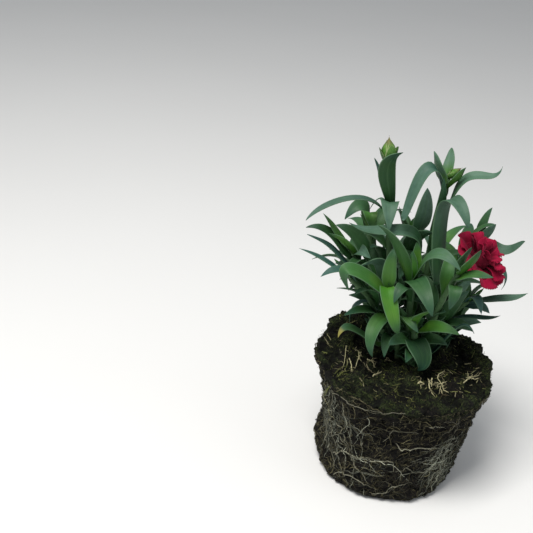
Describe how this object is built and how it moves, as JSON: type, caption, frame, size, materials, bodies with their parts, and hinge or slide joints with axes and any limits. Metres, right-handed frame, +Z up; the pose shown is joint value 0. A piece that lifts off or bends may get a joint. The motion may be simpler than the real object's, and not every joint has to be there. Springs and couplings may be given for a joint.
{
  "type": "dianthus plant",
  "caption": "Dianthus lifted from its pot: a bare root ball with a flat foot carries upright leafy stems, closed buds and a crimson double flower.",
  "frame": {"origin": "middle of the flat underside of the root ball", "axes": "+Z up along the stems, -Y towards the side that carries the bent leaves in front, +X towards the side of the flower"},
  "size_m": [0.1416, 0.1246, 0.2215],
  "materials": {
    "soil": "matt, fibrous and rough",
    "leaf": "waxy, satin",
    "bud": "waxy, satin",
    "petal": "velvety, matt"
  },
  "bodies": {
    "root": {"root_ball": "soil", "stem_bud_left": "leaf", "stem_bud_right": "leaf", "stem_back_mid": "leaf", "stem_right_back": "leaf", "stem_right_front": "leaf", "stem_right_low": "leaf", "stem_front": "leaf", "stem_front_left": "leaf", "stem_left_high": "leaf", "stem_left_low": "leaf", "stem_back_left": "leaf", "stem_bloom": "leaf", "stem_rosette": "leaf", "stem_rear_left": "leaf", "stem_rear_mid": "leaf", "stem_rear_right": "leaf", "stem_rear_low": "leaf", "bud_left": "bud", "bud_right": "bud", "bloom_petals": "petal"}
  },
  "joints": []
}
